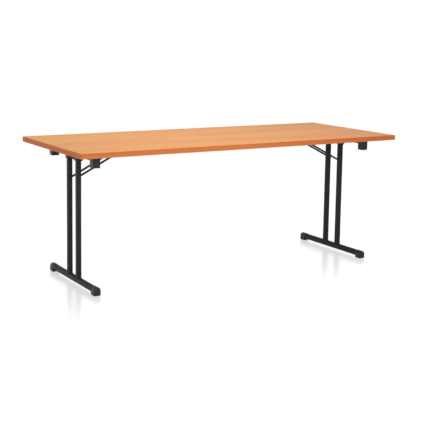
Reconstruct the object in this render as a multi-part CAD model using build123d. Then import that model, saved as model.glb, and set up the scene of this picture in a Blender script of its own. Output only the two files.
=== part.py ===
"""Folding table: a banded board on two T-shaped legs that fold inwards under it.

The origin lies on the floor under the middle of the top. X runs along the top, Y across it and Z up,
in millimetres. Each leg is drawn about its own plane, with x counted inwards from that plane, and is
then set at both ends of the top.
"""
from build123d import *
import os
from math import cos, hypot, radians, sin

# Table top
TABLE_LENGTH = 2000.0
TABLE_WIDTH = 800.0
TABLE_HEIGHT = 750.0
TOP_THICKNESS = 28.0
EDGE_BAND_THICKNESS = 2.0
EDGE_BAND_ROUNDING = 1.5

# Legs: two flat-oval columns on a round foot tube
LEG_INSET = 134.0
COLUMN_SPACING = 116.0
COLUMN_DEPTH = 40.0
COLUMN_WIDTH = 25.0
COLUMN_WALL = 1.5
COLUMN_TOP_RELIEF = 0.2
FOOT_LENGTH = 600.0
FOOT_DIAMETER = 35.0
FOOT_WALL = 1.5
FOOT_AXIS_HEIGHT = 27.0

# Foot end caps and the rubber glides under them
CAP_LENGTH = 42.0
CAP_END_WALL = 8.0
CAP_SIDE_WALL = 1.5
CAP_FLOOR_GAP = 1.5
CAP_END_ROUNDING = 5.0
CAP_BASE_ROUNDING = 3.0
CAP_MOUTH_ROUNDING = 0.8
GLIDE_LENGTH = 30.0
GLIDE_WIDTH = 26.0
GLIDE_CORNER = 6.0
GLIDE_SUNK_DEPTH = 3.0

# Leg pivot
PIVOT_DROP = 47.0
PIVOT_ROD_DIAMETER = 10.0
PIVOT_BUSH_DIAMETER = 16.0
PIVOT_BUSH_PROUD = 0.3
PIVOT_SPACER_DIAMETER = 20.0
PIVOT_HEAD_DIAMETER = 18.0
PIVOT_HEAD_HEIGHT = 5.0
PIVOT_NUT_FLATS = 17.0
PIVOT_NUT_HEIGHT = 8.0
HOUSING_SHEET = 2.5
HOUSING_CLEARANCE = 0.4
HOUSING_BELOW_PIVOT = 10.5
HOUSING_INNER_REACH = 16.0
HOUSING_ROUNDING = 8.0
HOUSING_WRAP_RADIUS = 6.0

# Cross rail under the top and the stacking blocks at its ends
RAIL_WIDTH = 36.0
RAIL_HEIGHT = 30.0
RAIL_WALL = 2.0
BLOCK_INSET = 132.0
BLOCK_WIDTH = 43.0
BLOCK_DEPTH = 42.0
BLOCK_HEIGHT = 67.0
BLOCK_DRAFT_ANGLE = 1.0
BLOCK_CORNER = 4.0
BLOCK_FOOT_ROUNDING = 3.5
BLOCK_SOCKET_DEPTH = 20.0
BLOCK_SCREW_WELL_DIAMETER = 12.0
BLOCK_SCREW_SEAT = 12.0

# Strut between the leg and the guide under the top
STRUT_DROP = 154.0
STRUT_ANGLE = 27.2
STRUT_ROD_DIAMETER = 11.0
STRUT_BEND_RADIUS = 7.0
STRUT_EYE_DIAMETER = 20.0
STRUT_EYE_PROUD = 0.5
STRUT_SIDE_GAP = 0.3
STRUT_BUSH_DIAMETER = 15.0
STRUT_BUSH_LENGTH = 37.0

# Slide pin at the strut's upper end and its slotted guide
SLIDE_DROP = 16.0
SLIDE_PIN_DIAMETER = 8.0
SLIDE_PIN_END = 1.2
SLIDE_ROLLER_DIAMETER = 12.0
SLIDE_ROLLER_LENGTH = 13.0
SLIDE_CLIP_DIAMETER = 15.0
SLIDE_CLIP_THICKNESS = 1.5
GUIDE_WIDTH = 36.0
GUIDE_SHEET = 3.0
GUIDE_SLOT_PLAY = 0.3
GUIDE_SLOT_MARGIN = 7.0
GUIDE_END_MARGIN = 12.0
GUIDE_CORNER = 14.0
GUIDE_SCREW_INSET = 10.0
GUIDE_SCREW_COUNT = 3
SLOT_STATIONS = 13

# Fold of the leg, and turns of the strut on the leg for each turn of the leg
FOLD_ANGLE = 90.0
STRUT_TURN_RATIO = 1.25

# Screws and fits
SCREW_DIAMETER = 5.0
SCREW_HEAD_DIAMETER = 9.4
SCREW_HEAD_HEIGHT = 2.4
SCREW_BITE = 18.0
SCREW_SPREAD = 24.0
THREAD_PROUD = 2.0
RUNNING_FIT = 0.05
SEAT_FIT = 0.05
LOOSE_FIT = 0.2

# Places that follow from the sizes above
UNDERSIDE = TABLE_HEIGHT - TOP_THICKNESS
LEG_X = TABLE_LENGTH / 2 - LEG_INSET
PIVOT_Z = UNDERSIDE - PIVOT_DROP
STRUT_Z = UNDERSIDE - STRUT_DROP
RAIL_BOTTOM = UNDERSIDE - RAIL_HEIGHT
COLUMN_Y = COLUMN_SPACING / 2
COLUMN_INNER_Y = COLUMN_Y - COLUMN_DEPTH / 2
COLUMN_OUTER_Y = COLUMN_Y + COLUMN_DEPTH / 2
HOUSING_INNER_Y = COLUMN_INNER_Y - HOUSING_CLEARANCE - HOUSING_SHEET
HOUSING_OUTER_Y = COLUMN_OUTER_Y + HOUSING_CLEARANCE + HOUSING_SHEET
HOUSING_BOTTOM = PIVOT_Z - HOUSING_BELOW_PIVOT
STRUT_ARM_Y = COLUMN_INNER_Y - STRUT_SIDE_GAP - STRUT_BEND_RADIUS
STRUT_PEG_END_Y = COLUMN_Y + STRUT_BUSH_LENGTH / 2
STRUT_EYE_LENGTH = STRUT_ROD_DIAMETER + 2 * STRUT_EYE_PROUD
STRUT_EYE_INNER_Y = STRUT_ARM_Y - STRUT_EYE_LENGTH / 2
STRUT_EYE_OUTER_Y = STRUT_ARM_Y + STRUT_EYE_LENGTH / 2
STRUT_LENGTH = (STRUT_DROP - SLIDE_DROP) / sin(radians(STRUT_ANGLE))
BLOCK_Y = TABLE_WIDTH / 2 - BLOCK_INSET
RAIL_LENGTH = 2 * BLOCK_Y - BLOCK_DEPTH + 2 * BLOCK_SOCKET_DEPTH
BLOCK_SCREW_Y = RAIL_LENGTH / 2 - BLOCK_SOCKET_DEPTH / 2
GUIDE_ROOF = UNDERSIDE - GUIDE_SHEET

FRONT = -1
BACK = 1
LEFT = -1
RIGHT = 1
END_NAMES = {FRONT: "front", BACK: "back"}
SIDE_NAMES = {LEFT: "left", RIGHT: "right"}


def bar(diameter, y_from, y_to, x=0.0, z=0.0):
    """Round bar along Y between two places."""
    middle = (y_from + y_to) / 2
    return Pos(x, middle, z) * Rot(90, 0, 0) * Cylinder(diameter / 2, abs(y_to - y_from))


def tube(outside, inside, y_from, y_to, x=0.0, z=0.0):
    """Round tube along Y between two places."""
    return bar(outside, y_from, y_to, x, z) - bar(inside, y_from, y_to, x, z)


def block_between(x_range, y_range, z_range):
    """Box between the given limits."""
    sizes = [high - low for low, high in (x_range, y_range, z_range)]
    middles = [(high + low) / 2 for low, high in (x_range, y_range, z_range)]
    return Pos(*middles) * Box(*sizes)


def span(middle, half):
    """Limits at the same distance on both sides of a middle."""
    return (middle - half, middle + half)


def nut(flats, bore, y_from, y_to, x, z):
    """Hexagon nut along Y with its hole."""
    hexagon = extrude(RegularPolygon(flats / 2, 6, major_radius=False), abs(y_to - y_from) / 2, both=True)
    return Pos(x, (y_from + y_to) / 2, z) * Rot(90, 0, 0) * hexagon - bar(bore, y_from, y_to, x, z)


def countersunk_screw(length, room=0.0):
    """Screw that points up from its flat head at z = 0; room widens it into its own hole."""
    head = SCREW_HEAD_DIAMETER / 2 + room
    shank = SCREW_DIAMETER / 2 + room
    tip = length + room
    outline = Polyline((0, 0), (head, 0), (shank, SCREW_HEAD_HEIGHT), (shank, tip), (0, tip), close=True)
    return revolve(Plane.XZ * make_face(outline), Axis.Z)


def slide_place(fold):
    """Place of the slide pin, inwards from the leg's plane and up, at a fold angle in degrees."""
    crank = PIVOT_Z - STRUT_Z
    strut_slope = radians(STRUT_ANGLE - (STRUT_TURN_RATIO - 1) * fold)
    x = crank * sin(radians(fold)) + STRUT_LENGTH * cos(strut_slope)
    z = PIVOT_Z - crank * cos(radians(fold)) + STRUT_LENGTH * sin(strut_slope)
    return x, z


def slide_heading(fold):
    """Unit direction of the slide pin's path at a fold angle in degrees."""
    crank = PIVOT_Z - STRUT_Z
    slower = STRUT_TURN_RATIO - 1
    strut_slope = radians(STRUT_ANGLE - slower * fold)
    x = crank * cos(radians(fold)) + slower * STRUT_LENGTH * sin(strut_slope)
    z = crank * sin(radians(fold)) - slower * STRUT_LENGTH * cos(strut_slope)
    size = hypot(x, z)
    return x / size, z / size


def table_board():
    """Coated board between the edge bands, with a pilot hole for each screw."""
    board = block_between(
        span(0, TABLE_LENGTH / 2 - EDGE_BAND_THICKNESS),
        span(0, TABLE_WIDTH / 2 - EDGE_BAND_THICKNESS),
        (UNDERSIDE, TABLE_HEIGHT),
    )
    pilot = Cylinder(SCREW_DIAMETER / 2 + SEAT_FIT, 2 * (SCREW_BITE + SEAT_FIT))
    pilots = [
        set_at(side, Pos(x, y, UNDERSIDE) * pilot)
        for side in SIDE_NAMES
        for x, y in rail_screw_places() + block_screw_places() + guide_screw_places()
    ]
    return board - pilots


def long_edge_band(end):
    """Edge band along the front or the back, as long as the top."""
    outer = end * TABLE_WIDTH / 2
    inner = outer - end * EDGE_BAND_THICKNESS
    band = block_between(
        span(0, TABLE_LENGTH / 2), (min(inner, outer), max(inner, outer)), (UNDERSIDE, TABLE_HEIGHT)
    )
    face = band.faces().sort_by(Axis.Y)[-1 if end == BACK else 0]
    return fillet(face.edges(), EDGE_BAND_ROUNDING)


def short_edge_band(side):
    """Edge band across one end, between the two long bands."""
    outer = side * TABLE_LENGTH / 2
    inner = outer - side * EDGE_BAND_THICKNESS
    band = block_between(
        (min(inner, outer), max(inner, outer)),
        span(0, TABLE_WIDTH / 2 - EDGE_BAND_THICKNESS),
        (UNDERSIDE, TABLE_HEIGHT),
    )
    face = band.faces().sort_by(Axis.X)[-1 if side == RIGHT else 0]
    return fillet(face.edges().filter_by(Axis.Y), EDGE_BAND_ROUNDING)


def rail_screw_places():
    """Places of the screws through each hinge housing and the rail."""
    return [
        (0.0, end * COLUMN_Y + step * SCREW_SPREAD / 2) for end in END_NAMES for step in (-1, 1)
    ]


def block_screw_places():
    """Places of the screws through each stacking block and the rail's ends."""
    return [(0.0, end * BLOCK_SCREW_Y) for end in END_NAMES]


def guide_screw_places():
    """Places of the screws in a row along the guide's roof."""
    first = guide_limits()[0] + GUIDE_SCREW_INSET
    last = guide_limits()[1] - GUIDE_SCREW_INSET
    step = (last - first) / (GUIDE_SCREW_COUNT - 1)
    return [(first + step * number, 0.0) for number in range(GUIDE_SCREW_COUNT)]


def cross_rail():
    """Rectangular tube across the table, screwed up against the board."""
    rail = block_between(span(0, RAIL_WIDTH / 2), span(0, RAIL_LENGTH / 2), (RAIL_BOTTOM, UNDERSIDE))
    hollow = block_between(
        span(0, RAIL_WIDTH / 2 - RAIL_WALL),
        span(0, RAIL_LENGTH / 2),
        (RAIL_BOTTOM + RAIL_WALL, UNDERSIDE - RAIL_WALL),
    )
    holes = [
        Pos(x, y, RAIL_BOTTOM) * Cylinder(SCREW_DIAMETER / 2 + SEAT_FIT, 3 * RAIL_HEIGHT)
        for x, y in rail_screw_places() + block_screw_places()
    ]
    return rail - hollow - holes


def stacking_block(end):
    """Moulded block on the rail's end that keeps stacked tables apart."""
    outline = RectangleRounded(BLOCK_WIDTH, BLOCK_DEPTH, BLOCK_CORNER)
    body = extrude(outline, -BLOCK_HEIGHT, taper=BLOCK_DRAFT_ANGLE)
    body = fillet(body.faces().sort_by(Axis.Z)[0].edges(), BLOCK_FOOT_ROUNDING)
    body = Pos(0, end * BLOCK_Y, UNDERSIDE) * body
    socket = block_between(
        span(0, RAIL_WIDTH / 2 + SEAT_FIT),
        span(0, RAIL_LENGTH / 2 + SEAT_FIT),
        (RAIL_BOTTOM - SEAT_FIT, UNDERSIDE + SEAT_FIT),
    )
    seat = RAIL_BOTTOM - BLOCK_SCREW_SEAT
    downwards = (Align.CENTER, Align.CENTER, Align.MAX)
    well = Cylinder(BLOCK_SCREW_WELL_DIAMETER / 2, BLOCK_HEIGHT, align=downwards)
    screw = countersunk_screw(BLOCK_SCREW_SEAT + RAIL_HEIGHT, SEAT_FIT)
    return body - socket - Pos(0, end * BLOCK_SCREW_Y, seat) * (well + screw)


def hinge_housing(end):
    """Sheet housing bent round the column's top, whose outer wall stops the leg upright."""
    wall_x = -COLUMN_WIDTH / 2 - HOUSING_CLEARANCE
    shell = block_between(
        (wall_x - HOUSING_SHEET, HOUSING_INNER_REACH),
        span(end * COLUMN_Y, (HOUSING_OUTER_Y - HOUSING_INNER_Y) / 2),
        (HOUSING_BOTTOM, RAIL_BOTTOM),
    )
    inner_edges = shell.edges().filter_by(Axis.Y).sort_by(Axis.Z)[:2]
    shell = fillet(inner_edges.sort_by(Axis.X)[-1:], HOUSING_ROUNDING)
    shell = fillet(shell.edges().filter_by(Axis.Z).sort_by(Axis.X)[:2], HOUSING_WRAP_RADIUS)
    room = block_between(
        (wall_x, HOUSING_INNER_REACH + HOUSING_SHEET),
        span(end * COLUMN_Y, COLUMN_DEPTH / 2 + HOUSING_CLEARANCE),
        (HOUSING_BOTTOM - HOUSING_SHEET, RAIL_BOTTOM - HOUSING_SHEET),
    )
    rod_hole = bar(PIVOT_ROD_DIAMETER + 2 * SEAT_FIT, -HOUSING_OUTER_Y, HOUSING_OUTER_Y, z=PIVOT_Z)
    screw_holes = [
        Pos(x, y, RAIL_BOTTOM - HOUSING_SHEET) * countersunk_screw(HOUSING_SHEET, SEAT_FIT)
        for x, y in rail_screw_places()
    ]
    return shell - room - rod_hole - screw_holes


def rail_screws():
    """Screws that hold the hinge housings, the rail and the stacking blocks to the board."""
    through_housing = countersunk_screw(HOUSING_SHEET + RAIL_HEIGHT + SCREW_BITE)
    through_block = countersunk_screw(BLOCK_SCREW_SEAT + RAIL_HEIGHT + SCREW_BITE)
    screws = [Pos(x, y, RAIL_BOTTOM - HOUSING_SHEET) * through_housing for x, y in rail_screw_places()]
    screws += [Pos(x, y, RAIL_BOTTOM - BLOCK_SCREW_SEAT) * through_block for x, y in block_screw_places()]
    return group(screws)


def pivot_rod():
    """Rod through both housings and both columns, with a head at the back and a nut at the front."""
    tail = -HOUSING_OUTER_Y - PIVOT_NUT_HEIGHT - THREAD_PROUD
    rod = bar(PIVOT_ROD_DIAMETER, tail, HOUSING_OUTER_Y, z=PIVOT_Z)
    head = bar(PIVOT_HEAD_DIAMETER, HOUSING_OUTER_Y, HOUSING_OUTER_Y + PIVOT_HEAD_HEIGHT, z=PIVOT_Z)
    head = fillet(head.edges().sort_by(Axis.Y)[-1:], PIVOT_HEAD_HEIGHT / 2)
    return rod + head


def pivot_nut():
    """Nut on the rod's front end."""
    seat = -HOUSING_OUTER_Y
    bore = PIVOT_ROD_DIAMETER + 2 * SEAT_FIT
    return nut(PIVOT_NUT_FLATS, bore, seat - PIVOT_NUT_HEIGHT, seat, 0, PIVOT_Z)


def pivot_spacer():
    """Tube on the rod that keeps the two housings apart."""
    bore = PIVOT_ROD_DIAMETER + 2 * LOOSE_FIT
    return tube(PIVOT_SPACER_DIAMETER, bore, -HOUSING_INNER_Y, HOUSING_INNER_Y, z=PIVOT_Z)


def column(end):
    """Flat-oval tube, round-ended about the pivot and shaped to the foot tube below."""
    height = PIVOT_Z + COLUMN_WIDTH - FOOT_AXIS_HEIGHT
    outside = extrude(SlotOverall(COLUMN_DEPTH, COLUMN_WIDTH, rotation=90), height)
    inside = extrude(
        SlotOverall(COLUMN_DEPTH - 2 * COLUMN_WALL, COLUMN_WIDTH - 2 * COLUMN_WALL, rotation=90), height
    )
    post = Pos(0, end * COLUMN_Y, FOOT_AXIS_HEIGHT) * (outside - inside)
    along = (-COLUMN_OUTER_Y - COLUMN_DEPTH, COLUMN_OUTER_Y + COLUMN_DEPTH)
    foot = bar(FOOT_DIAMETER, *along, z=FOOT_AXIS_HEIGHT)
    above = block_between(span(0, COLUMN_WIDTH), along, (PIVOT_Z, PIVOT_Z + 2 * COLUMN_WIDTH))
    above -= bar(COLUMN_WIDTH + 2 * COLUMN_TOP_RELIEF, *along, z=PIVOT_Z)
    bush_hole = bar(PIVOT_BUSH_DIAMETER + 2 * SEAT_FIT, *along, z=PIVOT_Z)
    strut_hole = bar(STRUT_BUSH_DIAMETER + 2 * SEAT_FIT, *along, z=STRUT_Z)
    return post - foot - above - bush_hole - strut_hole


def pivot_bush(end):
    """Bush through the column's top that turns on the pivot rod."""
    half = COLUMN_DEPTH / 2 + PIVOT_BUSH_PROUD
    bore = PIVOT_ROD_DIAMETER + 2 * RUNNING_FIT
    return tube(PIVOT_BUSH_DIAMETER, bore, end * COLUMN_Y - half, end * COLUMN_Y + half, z=PIVOT_Z)


def foot_tube():
    """Round tube along the floor that carries both columns."""
    half = FOOT_LENGTH / 2 - CAP_END_WALL
    return tube(FOOT_DIAMETER, FOOT_DIAMETER - 2 * FOOT_WALL, -half, half, z=FOOT_AXIS_HEIGHT)


def glide_middle(end):
    """Place of a glide along the foot."""
    return end * (FOOT_LENGTH - CAP_LENGTH) / 2


def foot_cap(end):
    """Moulded cap over the foot tube's end, with a flat base and a recess for its glide."""
    crown = FOOT_DIAMETER / 2 + CAP_SIDE_WALL
    outline = Polyline(
        (-crown, FOOT_AXIS_HEIGHT),
        (-crown, CAP_FLOOR_GAP),
        (crown, CAP_FLOOR_GAP),
        (crown, FOOT_AXIS_HEIGHT),
    )
    outline += ThreePointArc(
        (crown, FOOT_AXIS_HEIGHT), (0, FOOT_AXIS_HEIGHT + crown), (-crown, FOOT_AXIS_HEIGHT)
    )
    section = make_face(outline)
    section = fillet(section.vertices().sort_by(Axis.Y)[:2], CAP_BASE_ROUNDING)
    body = extrude(Plane.XZ * section, CAP_LENGTH / 2, both=True)
    body = fillet(body.faces().sort_by(Axis.Y)[0].edges(), CAP_END_ROUNDING)
    body = fillet(body.faces().sort_by(Axis.Y)[-1].edges(), CAP_MOUTH_ROUNDING)
    if end == BACK:
        body = Rot(0, 0, 180) * body
    body = Pos(0, glide_middle(end), 0) * body
    half_tube = FOOT_LENGTH / 2 - CAP_END_WALL
    socket = bar(FOOT_DIAMETER + 2 * SEAT_FIT, -half_tube, half_tube, z=FOOT_AXIS_HEIGHT)
    recess = extrude(glide_outline(SEAT_FIT), CAP_FLOOR_GAP + GLIDE_SUNK_DEPTH)
    return body - socket - Pos(0, glide_middle(end), 0) * recess


def glide_outline(room=0.0):
    """Rounded outline of a glide; room widens it into its recess."""
    return RectangleRounded(GLIDE_WIDTH + 2 * room, GLIDE_LENGTH + 2 * room, GLIDE_CORNER)


def foot_glides():
    """Rubber glides that the leg stands on."""
    pad = extrude(glide_outline(), CAP_FLOOR_GAP + GLIDE_SUNK_DEPTH - SEAT_FIT)
    return group([Pos(0, glide_middle(end), 0) * pad for end in END_NAMES])


def strut_bush(end):
    """Bush through the column that the strut arm's peg turns in."""
    middle = end * COLUMN_Y
    bore = STRUT_ROD_DIAMETER + 2 * RUNNING_FIT
    return tube(STRUT_BUSH_DIAMETER, bore, *span(middle, STRUT_BUSH_LENGTH / 2), z=STRUT_Z)


def strut_arm(end):
    """Rod bent outwards into a peg at the column, with an eye for the slide pin at its upper end."""
    upper_x, upper_z = slide_place(0.0)
    arm_y = end * STRUT_ARM_Y
    path = FilletPolyline(
        (0, end * STRUT_PEG_END_Y, STRUT_Z),
        (0, arm_y, STRUT_Z),
        (upper_x, arm_y, upper_z),
        radius=STRUT_BEND_RADIUS,
    )
    rod = sweep(Plane(path @ 0, z_dir=path % 0) * Circle(STRUT_ROD_DIAMETER / 2), path)
    across = (end * STRUT_EYE_INNER_Y, end * STRUT_EYE_OUTER_Y)
    eye = bar(STRUT_EYE_DIAMETER, *across, x=upper_x, z=upper_z)
    bore = bar(SLIDE_PIN_DIAMETER + 2 * SEAT_FIT, *across, x=upper_x, z=upper_z)
    return rod + eye - bore


def slide_pin():
    """Pin across the strut's upper eyes that runs in the guide's slots."""
    x, z = slide_place(0.0)
    half = STRUT_EYE_OUTER_Y + STRUT_SIDE_GAP + SLIDE_CLIP_THICKNESS + SLIDE_PIN_END
    return bar(SLIDE_PIN_DIAMETER, -half, half, x, z)


def slide_rollers():
    """Rollers on the pin, one in each slot of the guide."""
    x, z = slide_place(0.0)
    outer = STRUT_EYE_INNER_Y - STRUT_SIDE_GAP
    bore = SLIDE_PIN_DIAMETER + 2 * RUNNING_FIT
    return group([
        tube(SLIDE_ROLLER_DIAMETER, bore, end * (outer - SLIDE_ROLLER_LENGTH), end * outer, x, z)
        for end in END_NAMES
    ])


def slide_clips():
    """Clips that keep the strut's eyes on the pin."""
    x, z = slide_place(0.0)
    inner = STRUT_EYE_OUTER_Y + STRUT_SIDE_GAP
    bore = SLIDE_PIN_DIAMETER + 2 * SEAT_FIT
    return group([
        tube(SLIDE_CLIP_DIAMETER, bore, end * inner, end * (inner + SLIDE_CLIP_THICKNESS), x, z)
        for end in END_NAMES
    ])


def slot_stations():
    """Fold angles at which the guide's slot is worked out."""
    return [FOLD_ANGLE * number / (SLOT_STATIONS - 1) for number in range(SLOT_STATIONS)]


def slot_half_width():
    """Half the width of the guide's slot."""
    return SLIDE_ROLLER_DIAMETER / 2 + GUIDE_SLOT_PLAY


def slot_side(side):
    """Points along the upper (1) or lower (-1) side of the slot."""
    points = []
    for fold in slot_stations():
        x, z = slide_place(fold)
        ahead_x, ahead_z = slide_heading(fold)
        points.append((x - side * slot_half_width() * ahead_z, z + side * slot_half_width() * ahead_x))
    return points


def slot_end(fold, forward):
    """Point at the tip of the slot's round end, ahead of or behind the pin."""
    x, z = slide_place(fold)
    ahead_x, ahead_z = slide_heading(fold)
    reach = forward * slot_half_width()
    return x + reach * ahead_x, z + reach * ahead_z


def guide_limits():
    """Ends of the guide, inwards from the leg's plane."""
    places = [slide_place(fold)[0] for fold in slot_stations()]
    margin = slot_half_width() + GUIDE_END_MARGIN
    return min(places) - margin, max(places) + margin


def guide_bracket():
    """Channel under the board whose two cheeks carry the slot that the slide pin follows."""
    upper = slot_side(1)
    lower = slot_side(-1)
    outline = Spline(*upper)
    outline += ThreePointArc(upper[-1], slot_end(FOLD_ANGLE, 1), lower[-1])
    outline += Spline(*lower)
    outline += ThreePointArc(lower[0], slot_end(0.0, -1), upper[0])
    slot = extrude(Plane.XZ * make_face(outline), GUIDE_WIDTH, both=True)
    bottom = min(slide_place(fold)[1] for fold in slot_stations()) - slot_half_width() - GUIDE_SLOT_MARGIN
    channel = block_between(guide_limits(), span(0, GUIDE_WIDTH / 2), (bottom, UNDERSIDE))
    lower_edges = channel.edges().filter_by(Axis.Y).sort_by(Axis.Z)[:2]
    channel = fillet(lower_edges, GUIDE_CORNER)
    inside = block_between(
        (0.0, LEG_X), span(0, GUIDE_WIDTH / 2 - GUIDE_SHEET), (bottom - GUIDE_SHEET, GUIDE_ROOF)
    )
    screw_holes = [
        Pos(x, y, GUIDE_ROOF) * countersunk_screw(GUIDE_SHEET, SEAT_FIT) for x, y in guide_screw_places()
    ]
    return channel - inside - slot - screw_holes


def guide_screws():
    """Screws that hold the guide to the board."""
    screw = countersunk_screw(GUIDE_SHEET + SCREW_BITE)
    return group([Pos(x, y, GUIDE_ROOF) * screw for x, y in guide_screw_places()])


def group(pieces):
    """Several separate solids under one name."""
    return Compound([solid for piece in pieces for solid in piece.solids()])


def set_at(side, piece):
    """Piece drawn about a leg's plane, set at the left or the right end of the top."""
    if side == LEFT:
        return Pos(-LEG_X, 0, 0) * piece
    return Pos(LEG_X, 0, 0) * Rot(0, 0, 180) * piece


SINGLE_PIECES = {
    "cross_rail": cross_rail,
    "rail_screws": rail_screws,
    "pivot_rod": pivot_rod,
    "pivot_nut": pivot_nut,
    "pivot_spacer": pivot_spacer,
    "guide_bracket": guide_bracket,
    "guide_screws": guide_screws,
    "foot_tube": foot_tube,
    "foot_glides": foot_glides,
    "slide_pin": slide_pin,
    "slide_rollers": slide_rollers,
    "slide_clips": slide_clips,
}
PAIRED_PIECES = {
    "stacking_block": stacking_block,
    "hinge_housing": hinge_housing,
    "column": column,
    "pivot_bush": pivot_bush,
    "foot_cap": foot_cap,
    "strut_bush": strut_bush,
    "strut_arm": strut_arm,
}


def all_pieces():
    """Every piece of the table by its name."""
    pieces = {"table_board": table_board()}
    for end, end_name in END_NAMES.items():
        pieces[f"edge_band_{end_name}"] = long_edge_band(end)
    for side, side_name in SIDE_NAMES.items():
        pieces[f"edge_band_{side_name}"] = short_edge_band(side)
        for name, make in SINGLE_PIECES.items():
            pieces[f"{side_name}_{name}"] = set_at(side, make())
        for name, make in PAIRED_PIECES.items():
            for end, end_name in END_NAMES.items():
                drawn_end = end if side == LEFT else -end
                pieces[f"{side_name}_{name}_{end_name}"] = set_at(side, make(drawn_end))
    return pieces


os.makedirs("parts", exist_ok=True)
for piece_name, piece in all_pieces().items():
    export_step(piece, f"parts/{piece_name}.step")
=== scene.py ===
"""Looks of a folding table: the finish of every piece, the welds at its feet and the studio round it."""

import logging
import math
from collections.abc import Iterable, Mapping, Sequence
from dataclasses import dataclass, replace
from enum import Enum, IntEnum
from typing import Any

import bmesh
import bpy
from mathutils import Color, Matrix, Vector


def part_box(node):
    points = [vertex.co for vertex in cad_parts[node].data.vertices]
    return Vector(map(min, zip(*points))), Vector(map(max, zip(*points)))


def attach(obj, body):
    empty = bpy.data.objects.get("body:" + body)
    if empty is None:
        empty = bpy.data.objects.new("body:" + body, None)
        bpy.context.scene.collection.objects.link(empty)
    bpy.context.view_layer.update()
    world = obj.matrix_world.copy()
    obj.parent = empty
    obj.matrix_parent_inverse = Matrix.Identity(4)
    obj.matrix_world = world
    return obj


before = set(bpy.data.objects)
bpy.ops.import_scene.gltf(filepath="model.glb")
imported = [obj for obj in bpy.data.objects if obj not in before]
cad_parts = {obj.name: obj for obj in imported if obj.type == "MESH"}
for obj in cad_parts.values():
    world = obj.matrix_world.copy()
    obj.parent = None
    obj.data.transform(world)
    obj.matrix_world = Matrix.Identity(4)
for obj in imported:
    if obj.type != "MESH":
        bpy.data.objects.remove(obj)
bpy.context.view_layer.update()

IMAGE_WIDTH = 423
MILLIMETRE = 0.001
FULL_LEVEL = 255
# The level that soft noise swings about.
NOISE_MIDDLE = 0.5
# The distance at which the bands of a wave texture of scale 1 repeat.
WAVE_PERIOD = math.tau / 10
UPRIGHT = Vector((0.0, 0.0, 1.0))

log = logging.getLogger("folding_table")

Colour = tuple[float, float, float, float]


class Side(Enum):
    """The table's two ends, each with its own leg."""

    LEFT = "left"
    RIGHT = "right"


class End(Enum):
    """The near and the far end of a leg."""

    FRONT = "front"
    BACK = "back"


class Grain(Enum):
    """The way in which a finish runs over a piece, as the number of that axis."""

    LENGTHWISE = 0
    CROSSWISE = 1


class MixSocket(IntEnum):
    """The places of a Mix node's colour sockets."""

    SHARE = 0
    RESULT = 2
    FIRST = 6
    SECOND = 7


def paint(red: float, green: float, blue: float) -> Colour:
    """Turns a colour as a screen shows it into the shader's linear one.

    Args:
        red: Red, from 0 to 255.
        green: Green, from 0 to 255.
        blue: Blue, from 0 to 255.

    Returns:
        The linear colour with full cover.
    """
    shown = Color((red / FULL_LEVEL, green / FULL_LEVEL, blue / FULL_LEVEL))
    return (*shown.from_srgb_to_scene_linear(), 1.0)


def grey(level: float) -> Colour:
    """Gives the linear grey of a level from 0 to 1."""
    return (level, level, level, 1.0)


@dataclass(frozen=True)
class Layer:
    """One layer of a finish: the size of its features in metres, and the levels that it is cut to."""

    pitch: float
    run: float = 0.0
    detail: float = 2.0
    rough: float = 0.5
    low: float = 0.0
    high: float = 1.0

    def rates(self, grain: Grain | None = None) -> list[float]:
        """Gives the features per metre in each direction.

        Args:
            grain: The way that the features run, if they are longer that way.

        Returns:
            The rates along X, Y and Z.
        """
        rates = [1 / self.pitch, 1 / self.pitch, 1 / self.pitch]
        if grain is not None:
            rates[grain.value] = 1 / self.run
        return rates


class Value:
    """A number that a node gives, for sums with other such numbers and with plain ones."""

    def __init__(self, graph: "ShaderGraph", socket: bpy.types.NodeSocket) -> None:
        """Keeps the socket and the graph that it belongs to."""
        self.graph = graph
        self.socket = socket

    def _sum(self, operation: str, first: "Value | float", second: "Value | float") -> "Value":
        """Adds the Math node of one sum and gives its result."""
        return self.graph.node("ShaderNodeMath", {"operation": operation}, {0: first, 1: second})

    def __add__(self, other: "Value | float") -> "Value":
        """Gives self + other."""
        return self._sum("ADD", self, other)

    def __radd__(self, other: "Value | float") -> "Value":
        """Gives other + self."""
        return self._sum("ADD", other, self)

    def __sub__(self, other: "Value | float") -> "Value":
        """Gives self - other."""
        return self._sum("SUBTRACT", self, other)

    def __rsub__(self, other: "Value | float") -> "Value":
        """Gives other - self."""
        return self._sum("SUBTRACT", other, self)

    def __mul__(self, other: "Value | float") -> "Value":
        """Gives self * other."""
        return self._sum("MULTIPLY", self, other)

    def __rmul__(self, other: "Value | float") -> "Value":
        """Gives other * self."""
        return self._sum("MULTIPLY", other, self)


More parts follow.
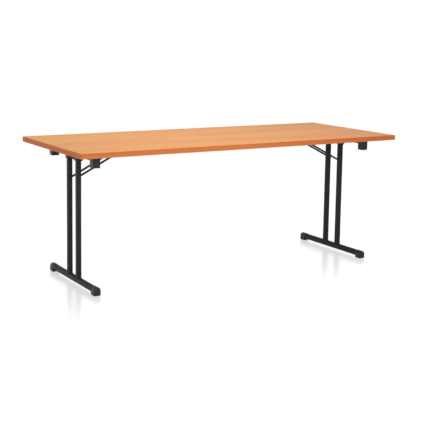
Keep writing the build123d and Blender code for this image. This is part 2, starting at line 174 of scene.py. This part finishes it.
class ShaderGraph:
    """The node tree of one material or of the world."""

    def __init__(self, owner: bpy.types.Material | bpy.types.World) -> None:
        """Turns the owner's nodes on and empties its tree.

        Args:
            owner: The material or world whose tree this is.
        """
        owner.use_nodes = True
        self.tree = owner.node_tree
        self.tree.nodes.clear()
        is_world = isinstance(owner, bpy.types.World)
        self.end = "ShaderNodeOutputWorld" if is_world else "ShaderNodeOutputMaterial"

    def node(
        self,
        kind: str,
        settings: Mapping[str, Any] | None = None,
        sockets: Mapping[str | int, Any] | None = None,
        output: str | int = 0,
    ) -> Value:
        """Makes any node: its settings first, then the values or links of its sockets.

        Args:
            kind: The node's type name.
            settings: Its settings by name.
            sockets: A plain value or a Value for each socket, by name or number.
            output: The output that is wanted, by name or number.

        Returns:
            The wanted output, or the first input of a node that has no output.
        """
        made = self.tree.nodes.new(kind)
        for name, setting in (settings or {}).items():
            setattr(made, name, setting)
        for key, given in (sockets or {}).items():
            if isinstance(given, Value):
                self.tree.links.new(given.socket, made.inputs[key])
            else:
                made.inputs[key].default_value = given
        return Value(self, made.outputs[output] if made.outputs else made.inputs[0])

    def stretched(self, scale: Sequence[float]) -> Value:
        """Gives the point on the piece at rest, in metres, with each direction scaled."""
        place = self.node("ShaderNodeTexCoord", output="Object")
        return self.node("ShaderNodeMapping", sockets={"Vector": place, "Scale": tuple(scale)})

    def noise(self, layer: Layer, grain: Grain | None = None) -> Value:
        """Gives the soft noise of a layer.

        Args:
            layer: The layer, with the size of its features.
            grain: The way that the features run, if they are longer that way.

        Returns:
            A number that swings about the middle.
        """
        sockets = {
            "Vector": self.stretched(layer.rates(grain)),
            "Scale": 1.0,
            "Detail": layer.detail,
            "Roughness": layer.rough,
        }
        return self.node("ShaderNodeTexNoise", {"noise_dimensions": "3D"}, sockets, "Fac")

    def figure(self, layer: Layer, grain: Grain, width: float, reach: float) -> Value:
        """Gives lines that swell from light to dark and wander into long arches, as flat-sawn wood has them.

        Args:
            layer: The layer, with the lines' pitch and run.
            grain: The way that the lines run.
            width: How many lines wide the arches are.
            reach: How many arches there are to a line's width.

        Returns:
            A number that rises from 0 to 1 over each line.
        """
        settings = {"wave_type": "BANDS", "bands_direction": "DIAGONAL", "wave_profile": "SAW"}
        sockets = {
            "Vector": self.stretched([WAVE_PERIOD * rate for rate in layer.rates(grain)]),
            "Scale": 1.0,
            "Distortion": math.tau * width,
            "Detail Scale": reach,
        }
        return self.node("ShaderNodeTexWave", settings, sockets, "Fac")

    def cut(self, number: Value, layer: Layer) -> Value:
        """Gives 0 where the number is below the layer's low level, 1 above its high one, a ramp between."""
        sockets = {"Value": number, "From Min": layer.low, "From Max": layer.high}
        return self.node("ShaderNodeMapRange", sockets=sockets)

    def cut_noise(self, layer: Layer, grain: Grain | None = None) -> Value:
        """Gives the noise of a layer, cut to the layer's levels."""
        return self.cut(self.noise(layer, grain), layer)

    def mix(self, share: Value, first: Value | Colour, second: Value | Colour) -> Value:
        """Mixes two colours, with the share of the second one from 0 to 1."""
        sockets = {MixSocket.SHARE: share, MixSocket.FIRST: first, MixSocket.SECOND: second}
        return self.node("ShaderNodeMix", {"data_type": "RGBA"}, sockets, MixSocket.RESULT)

    def bump(self, height: Value, depth: float, strength: float) -> Value:
        """Gives the direction of a surface with a relief.

        Args:
            height: The relief's height, from 0 to 1.
            depth: The height of 1, in metres.
            strength: How much of the relief is used.

        Returns:
            The direction for a shader's Normal.
        """
        sockets = {"Height": height, "Distance": depth, "Strength": strength}
        return self.node("ShaderNodeBump", sockets=sockets)

    def sum_shaders(self, first: Value, second: Value) -> Value:
        """Gives the light of two shaders together."""
        return self.node("ShaderNodeAddShader", sockets={0: first, 1: second})

    def by_ray(self, light: Value, look: Value) -> Value:
        """Gives one shader as a light for the table and another to be looked at.

        Args:
            light: The shader that lights the table.
            look: The shader that the camera sees, straight, off gloss or through glass.

        Returns:
            The two shaders as one.
        """
        names = ("Is Camera Ray", "Is Glossy Ray", "Is Transmission Ray")
        camera, gloss, glass = (self.node("ShaderNodeLightPath", output=name) for name in names)
        return self.node("ShaderNodeMixShader", sockets={0: camera + gloss + glass, 1: light, 2: look})

    def surface(self, shader: Value) -> None:
        """Makes a shader the look of the material or world."""
        self.node(self.end, sockets={"Surface": shader})


@dataclass(frozen=True)
class Finish:
    """A finish that one Principled shader shows."""

    name: str

    def sockets(self, graph: ShaderGraph) -> dict[str, Any]:
        """Gives the shader's sockets by name, which each kind of finish has its own way to build."""
        raise NotImplementedError

    def make(self) -> bpy.types.Material:
        """Makes the material.

        Returns:
            The new material.
        """
        material = bpy.data.materials.new(self.name)
        graph = ShaderGraph(material)
        graph.surface(graph.node("ShaderNodeBsdfPrincipled", sockets=self.sockets(graph)))
        return material


@dataclass(frozen=True)
class WoodDecor(Finish):
    """A printed beech decor under a satin coat: tone bands, arched lines, fibres and ray flecks."""

    grain: Grain
    yellow: Colour
    pink: Colour
    deep: Colour
    fleck: Colour
    bands: Layer = Layer(pitch=0.10, run=1.6, detail=3.0, rough=0.55, low=0.34, high=0.66)
    warmth: Layer = Layer(pitch=0.05, run=1.28, low=0.38, high=0.62)
    lines: Layer = Layer(pitch=0.024, run=3.0, low=0.35, high=1.0)
    fibres: Layer = Layer(pitch=0.0035, run=0.28, detail=4.0, rough=0.6, low=0.38, high=0.66)
    flecks: Layer = Layer(pitch=0.0011, run=0.011, detail=1.0, low=0.60, high=0.72)
    arch_width: float = 8.0
    arch_reach: float = 0.18
    band_share: float = 0.44
    line_share: float = 0.27
    fibre_share: float = 0.29
    fleck_share: float = 0.38
    roughness: float = 0.46
    fibre_haze: float = 0.10
    fleck_haze: float = 0.05
    gloss: float = 0.09
    fleck_sink: float = 0.6
    relief: float = 0.00004
    relief_strength: float = 0.35

    def sockets(self, graph: ShaderGraph) -> dict[str, Any]:
        """Builds the decor's layers.

        Args:
            graph: The material's graph.

        Returns:
            The shader's sockets by name.
        """
        bands = graph.cut_noise(self.bands, self.grain)
        warmth = graph.cut_noise(self.warmth, self.grain)
        lines = graph.cut(graph.figure(self.lines, self.grain, self.arch_width, self.arch_reach), self.lines)
        fibre = graph.noise(self.fibres, self.grain)
        streak = graph.cut(fibre, self.fibres)
        dash = graph.cut_noise(self.flecks, self.grain)
        base = graph.mix(warmth, self.yellow, self.pink)
        depth = bands * self.band_share + lines * self.line_share + streak * self.fibre_share
        toned = graph.mix(depth, base, self.deep)
        return {
            "Base Color": graph.mix(dash * self.fleck_share, toned, self.fleck),
            "Roughness": self.roughness + self.fibre_haze * (fibre - NOISE_MIDDLE) + self.fleck_haze * dash,
            "Specular IOR Level": self.gloss,
            "Normal": graph.bump(fibre - self.fleck_sink * dash, self.relief, self.relief_strength),
        }


@dataclass(frozen=True)
class PowderCoat(Finish):
    """Satin black powder coat with the fine orange peel of a baked film."""

    dark: Colour = paint(45, 45, 46)
    light: Colour = paint(56, 56, 57)
    peel: Layer = Layer(pitch=0.0016)
    cloud: Layer = Layer(pitch=0.09, detail=3.0, rough=0.6)
    specks: Layer = Layer(pitch=0.0005, detail=1.0, low=0.62, high=0.74)
    cloud_share: float = 0.6
    speck_share: float = 0.4
    roughness: float = 0.44
    cloud_haze: float = 0.12
    peel_haze: float = 0.08
    gloss: float = 0.06
    relief: float = 0.00003
    relief_strength: float = 0.4

    def sockets(self, graph: ShaderGraph) -> dict[str, Any]:
        """Builds the coat's layers.

        Args:
            graph: The material's graph.

        Returns:
            The shader's sockets by name.
        """
        peel = graph.noise(self.peel)
        cloud = graph.noise(self.cloud)
        speck = graph.cut_noise(self.specks)
        haze = self.cloud_haze * (cloud - NOISE_MIDDLE) + self.peel_haze * (peel - NOISE_MIDDLE)
        tone = self.cloud_share * cloud + self.speck_share * speck
        return {
            "Base Color": graph.mix(tone, self.dark, self.light),
            "Roughness": self.roughness + haze,
            "Specular IOR Level": self.gloss,
            "Normal": graph.bump(peel, self.relief, self.relief_strength),
        }


@dataclass(frozen=True)
class Moulding(Finish):
    """Moulded plastic or rubber with the fine grain of its mould."""

    dark: Colour
    light: Colour
    texture: Layer = Layer(pitch=0.0009, rough=0.6)
    flow: Layer = Layer(pitch=0.02)
    texture_share: float = 0.5
    flow_share: float = 0.5
    roughness: float = 0.50
    texture_haze: float = 0.14
    flow_haze: float = 0.08
    gloss: float = 0.30
    relief: float = 0.00005
    relief_strength: float = 0.5

    def sockets(self, graph: ShaderGraph) -> dict[str, Any]:
        """Builds the moulding's layers.

        Args:
            graph: The material's graph.

        Returns:
            The shader's sockets by name.
        """
        texture = graph.noise(self.texture)
        flow = graph.noise(self.flow)
        haze = self.texture_haze * (texture - NOISE_MIDDLE) + self.flow_haze * (flow - NOISE_MIDDLE)
        tone = self.flow_share * flow + self.texture_share * texture
        return {
            "Base Color": graph.mix(tone, self.dark, self.light),
            "Roughness": self.roughness + haze,
            "Specular IOR Level": self.gloss,
            "Normal": graph.bump(texture, self.relief, self.relief_strength),
        }


@dataclass(frozen=True)
class ZincPlate(Finish):
    """Zinc plated steel with a faint cloudy spangle and fine scratches."""

    bright: Colour = paint(206, 207, 205)
    dull: Colour = paint(168, 170, 168)
    spangle: Layer = Layer(pitch=0.003, detail=3.0, rough=0.65, low=0.3, high=0.7)
    scratches: Layer = Layer(pitch=MILLIMETRE / 3, run=0.0075)
    roughness: float = 0.34
    spangle_haze: float = 0.2
    scratch_haze: float = 0.1

    def sockets(self, graph: ShaderGraph) -> dict[str, Any]:
        """Builds the plate's layers.

        Args:
            graph: The material's graph.

        Returns:
            The shader's sockets by name.
        """
        spangle = graph.noise(self.spangle)
        scratch = graph.noise(self.scratches, Grain.LENGTHWISE)
        haze = self.spangle_haze * (spangle - NOISE_MIDDLE) + self.scratch_haze * (scratch - NOISE_MIDDLE)
        return {
            "Base Color": graph.mix(graph.cut(spangle, self.spangle), self.bright, self.dull),
            "Metallic": 1.0,
            "Roughness": self.roughness + haze,
        }


@dataclass(frozen=True)
class Finishes:
    """The materials of the whole table."""

    board: bpy.types.Material
    long_band: bpy.types.Material
    short_band: bpy.types.Material
    black_steel: bpy.types.Material
    black_plastic: bpy.types.Material
    zinc_steel: bpy.types.Material
    nylon: bpy.types.Material
    rubber: bpy.types.Material

    @classmethod
    def make(cls) -> "Finishes":
        """Makes every material of the table.

        Returns:
            The materials.
        """
        board = WoodDecor(
            "beech_board",
            Grain.LENGTHWISE,
            yellow=paint(226, 168, 84),
            pink=paint(234, 154, 96),
            deep=paint(192, 118, 58),
            fleck=paint(164, 92, 44),
        )
        long_band = replace(
            board,
            name="beech_band_long",
            yellow=paint(224, 141, 72),
            pink=paint(224, 128, 80),
            deep=paint(204, 112, 62),
            fleck=paint(168, 78, 36),
            bands=replace(board.bands, pitch=0.03),
            warmth=replace(board.warmth, pitch=0.015),
            lines=replace(board.lines, pitch=0.009),
            roughness=0.52,
            gloss=0.07,
        )
        short_band = replace(long_band, name="beech_band_short", grain=Grain.CROSSWISE)
        return cls(
            board=board.make(),
            long_band=long_band.make(),
            short_band=short_band.make(),
            black_steel=PowderCoat("black_powder_coat").make(),
            black_plastic=Moulding("black_moulding", paint(22, 22, 23), paint(32, 32, 33)).make(),
            zinc_steel=ZincPlate("zinc_plate").make(),
            nylon=Moulding("natural_nylon", paint(214, 211, 200), paint(230, 228, 219)).make(),
            rubber=Moulding("matt_rubber", paint(30, 30, 30), paint(44, 43, 42), roughness=0.75).make(),
        )


def dress(names: Iterable[str], material: bpy.types.Material) -> None:
    """Gives solids of the frame their finish and reports each.

    Args:
        names: The names of the solids' nodes.
        material: The finish that they share.
    """
    for name in names:
        for material_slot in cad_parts[name].material_slots:
            material_slot.material = material
        log.info("%s dressed in %s", name, material.name)


def add_object(name: str, data: bpy.types.ID) -> bpy.types.Object:
    """Makes an object of a mesh, a lamp or a camera and puts it into the scene.

    Args:
        name: The object's name.
        data: What the object is made of.

    Returns:
        The new object.
    """
    made = bpy.data.objects.new(name, data)
    bpy.context.scene.collection.objects.link(made)
    return made


def add_piece(name: str, mesh: bmesh.types.BMesh, finish: bpy.types.Material) -> bpy.types.Object:
    """Turns a finished mesh into a piece of the scene.

    Args:
        name: The piece's name.
        mesh: Its shape, which is freed here.
        finish: Its finish.

    Returns:
        The new object.
    """
    data = bpy.data.meshes.new(name)
    mesh.to_mesh(data)
    mesh.free()
    data.materials.append(finish)
    return add_object(name, data)


@dataclass
class TableTop:
    """The coated board with its four edge bands."""

    board: str = "table_board"
    long_bands: tuple[str, str] = ("edge_band_front", "edge_band_back")
    short_bands: tuple[str, str] = ("edge_band_left", "edge_band_right")

    def dress(self, finishes: Finishes) -> None:
        """Gives the board and the bands their decors.

        Args:
            finishes: The table's materials.
        """
        dress([self.board], finishes.board)
        dress(self.long_bands, finishes.long_band)
        dress(self.short_bands, finishes.short_band)


@dataclass
class SideGroup:
    """Pieces that the table has at both of its sides."""

    side: Side

    def named(self, *pieces: str) -> list[str]:
        """Gives the full names of pieces at this side."""
        return [f"{self.side.value}_{piece}" for piece in pieces]

    def pairs(self, *pieces: str) -> list[str]:
        """Gives the full names of pieces that come as a front and a back one."""
        return [name for end in End for name in self.named(*(f"{piece}_{end.value}" for piece in pieces))]


@dataclass
class UnderFrame(SideGroup):
    """What is screwed under the top at one side: rail, blocks, hinge and guide."""

    def dress(self, finishes: Finishes) -> None:
        """Gives each piece under the top its finish.

        Args:
            finishes: The table's materials.
        """
        steel = self.named("cross_rail", "pivot_rod", "pivot_nut", "pivot_spacer", "guide_bracket")
        dress(steel + self.pairs("hinge_housing"), finishes.black_steel)
        dress(self.pairs("stacking_block"), finishes.black_plastic)
        dress(self.named("rail_screws", "guide_screws"), finishes.zinc_steel)


@dataclass
class Leg(SideGroup):
    """One folding leg: two flat-oval columns welded to a round foot, with its caps and bushes."""

    bead_radius: float = 2.3 * MILLIMETRE
    bead_ripple: float = 0.25 * MILLIMETRE
    ripple_middle: float = 0.5
    ripple_pitch: float = 2.6 * MILLIMETRE
    rings_per_ripple: int = 5
    bead_sides: int = 12
    bead_slot: str = "black_steel"

    @property
    def body(self) -> str:
        """The name of the body that the leg is."""
        return f"{self.side.value}_leg"

    def dress(self, finishes: Finishes) -> None:
        """Gives each piece of the leg its finish.

        Args:
            finishes: The table's materials.
        """
        dress(self.named("foot_tube") + self.pairs("column"), finishes.black_steel)
        dress(self.pairs("foot_cap", "strut_bush"), finishes.black_plastic)
        dress(self.pairs("pivot_bush"), finishes.nylon)
        dress(self.named("foot_glides"), finishes.rubber)

    def weld_columns(self, finishes: Finishes) -> None:
        """Lays a bead of weld round the bottom of each column."""
        for end in End:
            self._weld(end, finishes.black_steel)

    def _seam(self, end: End) -> list[Vector]:
        """Follows the line where a column meets the foot tube.

        Args:
            end: Which of the two columns.

        Returns:
            Evenly spaced points once round the column, on the tube's skin.
        """
        low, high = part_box(*self.named(f"column_{end.value}"))
        tube_low, tube_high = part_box(*self.named("foot_tube"))
        tube_radius = (tube_high.x - tube_low.x) / 2
        tube_axis = (tube_high.z + tube_low.z) / 2
        centre = (low + high) / 2
        round_radius = (high.x - low.x) / 2
        flat = high.y - low.y - 2 * round_radius
        half_way = flat + math.pi * round_radius
        length = 2 * half_way
        count = self.rings_per_ripple * round(length / self.ripple_pitch)
        points = []
        for index in range(count):
            half, along = divmod(index * length / count, half_way)
            way = 1 if half == 0 else -1
            if along < flat:
                x, y = round_radius, along - flat / 2
            else:
                angle = (along - flat) / round_radius
                x, y = round_radius * math.cos(angle), flat / 2 + round_radius * math.sin(angle)
            skin = tube_axis + math.sqrt(tube_radius**2 - x**2)
            points.append(Vector((centre.x + way * x, centre.y + way * y, skin)))
        return points

    def _rings(self, mesh: bmesh.types.BMesh, seam: Sequence[Vector]) -> list[list[bmesh.types.BMVert]]:
        """Sets the corners of a bead round its seam, swollen at the start of each ripple.

        Args:
            mesh: The bead's mesh.
            seam: Points once round the column.

        Returns:
            The corners of one ring at each point.
        """
        rings = []
        for index, point in enumerate(seam):
            heading = (seam[(index + 1) % len(seam)] - seam[index - 1]).normalized()
            outward = heading.cross(UPRIGHT).normalized()
            upward = outward.cross(heading)
            phase = (index % self.rings_per_ripple) / self.rings_per_ripple
            radius = self.bead_radius + self.bead_ripple * (math.sqrt(1 - phase) - self.ripple_middle)
            angles = [math.tau * corner / self.bead_sides for corner in range(self.bead_sides)]
            spokes = [math.cos(angle) * outward + math.sin(angle) * upward for angle in angles]
            rings.append([mesh.verts.new(point + radius * spoke) for spoke in spokes])
        return rings

    def _weld(self, end: End, finish: bpy.types.Material) -> None:
        """Makes one bead, its ripples one behind the other along the seam.

        Args:
            end: Which of the two columns.
            finish: The bead's finish.
        """
        mesh = bmesh.new()
        rings = self._rings(mesh, self._seam(end))
        for ring, following in zip(rings, rings[1:] + rings[:1]):
            for corner in range(self.bead_sides):
                beside = (corner + 1) % self.bead_sides
                face = mesh.faces.new((ring[corner], ring[beside], following[beside], following[corner]))
                face.smooth = True
        bmesh.ops.recalc_face_normals(mesh, faces=mesh.faces)
        bead = add_piece(f"{self.side.value}_weld_{end.value}", mesh, finish)
        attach(bead, self.body)
        log.info("%s laid on %s", bead.name, self.body)


@dataclass
class Strut(SideGroup):
    """One strut: two round arms, and the pin with its rollers that runs in the guide."""

    def dress(self, finishes: Finishes) -> None:
        """Gives each piece of the strut its finish.

        Args:
            finishes: The table's materials.
        """
        dress(self.pairs("strut_arm"), finishes.black_steel)
        dress(self.named("slide_pin", "slide_clips"), finishes.zinc_steel)
        dress(self.named("slide_rollers"), finishes.nylon)


@dataclass(frozen=True)
class Lamp:
    """One soft area lamp: where its middle hangs, what it faces, its width and height and its watts."""

    name: str
    place: tuple[float, float, float]
    aim: tuple[float, float, float]
    size: tuple[float, float]
    power: float

    def hang(self) -> None:
        """Hangs the lamp with its face to its aim."""
        data = bpy.data.lights.new(self.name, "AREA")
        data.shape = "RECTANGLE"
        data.size, data.size_y = self.size
        data.energy = self.power
        lamp = add_object(self.name, data)
        lamp.location = self.place
        lamp.rotation_euler = (Vector(self.aim) - Vector(self.place)).to_track_quat("-Z", "Y").to_euler()


@dataclass(frozen=True)
class Viewpoint:
    """The camera at the photograph's viewing angle, with its angles in degrees."""

    place: tuple[float, float, float] = (-2.8516, -4.6661, 1.3764)
    yaw: float = 31.244
    pitch: float = 7.385
    roll: float = 0.892
    focal_pixels: float = 964.6
    axis_above_middle: float = 61.5
    sensor_width: float = 36.0

    def set_up(self) -> None:
        """Sets the camera up."""
        yaw, pitch, roll = (math.radians(angle) for angle in (self.yaw, self.pitch, self.roll))
        ahead = Vector((math.sin(yaw) * math.cos(pitch), math.cos(yaw) * math.cos(pitch), -math.sin(pitch)))
        level = Vector((math.cos(yaw), -math.sin(yaw), 0.0))
        upright = level.cross(ahead)
        across = math.cos(roll) * level + math.sin(roll) * upright
        upward = math.cos(roll) * upright - math.sin(roll) * level
        data = bpy.data.cameras.new("camera")
        data.sensor_width = self.sensor_width
        data.lens = self.focal_pixels / IMAGE_WIDTH * self.sensor_width
        data.shift_y = -self.axis_above_middle / IMAGE_WIDTH
        camera = add_object("camera", data)
        turn = Matrix((across, upward, -ahead)).transposed().to_4x4()
        camera.matrix_world = Matrix.Translation(self.place) @ turn
        bpy.context.scene.camera = camera


@dataclass
class Studio:
    """A white studio: endless pale floor, soft lamps and the camera."""

    floor_reach: float = 40.0
    floor_bounce: Colour = grey(0.80)
    floor_shade: Colour = grey(0.32)
    floor_gloss: Colour = grey(0.34)
    floor_roughness: float = 0.25
    floor_glow: float = 0.57
    sky_colour: Colour = grey(1.0)
    sky_light: float = 0.38
    sky_look: float = 1.0
    lamps: tuple[Lamp, ...] = (
        Lamp("top_softbox", place=(-0.25, -0.2, 2.7), aim=(-0.2, 0.0, 0.7), size=(1.5, 1.0), power=30.0),
        Lamp("front_softbox", place=(-0.2, -2.3, 1.3), aim=(-0.1, 0.0, 0.6), size=(1.2, 0.9), power=19.0),
        Lamp("left_softbox", place=(-3.4, -2.4, 1.5), aim=(-0.8, 0.0, 0.6), size=(1.4, 1.2), power=20.0),
        Lamp("back_strip", place=(-2.3, 3.0, 0.4), aim=(-0.8, 0.0, 0.5), size=(1.6, 0.5), power=5.0),
    )
    viewpoint: Viewpoint = Viewpoint()

    def build(self) -> None:
        """Makes the studio."""
        self._sky()
        self._floor()
        for lamp in self.lamps:
            lamp.hang()
        self.viewpoint.set_up()

    def _sky(self) -> None:
        """Makes the even white surroundings, dimmer as a light than they look."""
        world = bpy.data.worlds.new("studio_white")
        bpy.context.scene.world = world
        graph = ShaderGraph(world)
        light, look = (
            graph.node("ShaderNodeBackground", sockets={"Color": self.sky_colour, "Strength": strength})
            for strength in (self.sky_light, self.sky_look)
        )
        graph.surface(graph.by_ray(light, look))

    def _floor(self) -> None:
        """Makes the floor, white to the eye but for the table's shadow and a soft reflection."""
        material = bpy.data.materials.new("studio_floor")
        graph = ShaderGraph(material)
        bounce, shade = (
            graph.node("ShaderNodeBsdfDiffuse", sockets={"Color": colour})
            for colour in (self.floor_bounce, self.floor_shade)
        )
        gloss_sockets = {"Color": self.floor_gloss, "Roughness": self.floor_roughness}
        gloss = graph.node("ShaderNodeBsdfGlossy", sockets=gloss_sockets)
        glow = graph.node("ShaderNodeEmission", sockets={"Strength": self.floor_glow})
        look = graph.sum_shaders(graph.sum_shaders(shade, gloss), glow)
        graph.surface(graph.by_ray(bounce, look))
        mesh = bmesh.new()
        bmesh.ops.create_grid(mesh, x_segments=1, y_segments=1, size=self.floor_reach)
        add_piece("studio_floor", mesh, material)


def main() -> None:
    """Builds and dresses the table, then the studio round it."""
    logging.basicConfig(level=logging.INFO, format="%(message)s")
    bpy.context.scene.view_settings.view_transform = "Standard"
    finishes = Finishes.make()
    TableTop().dress(finishes)
    for side in Side:
        UnderFrame(side).dress(finishes)
        leg = Leg(side)
        leg.dress(finishes)
        leg.weld_columns(finishes)
        Strut(side).dress(finishes)
    Studio().build()


if __name__ == "__main__":
    main()
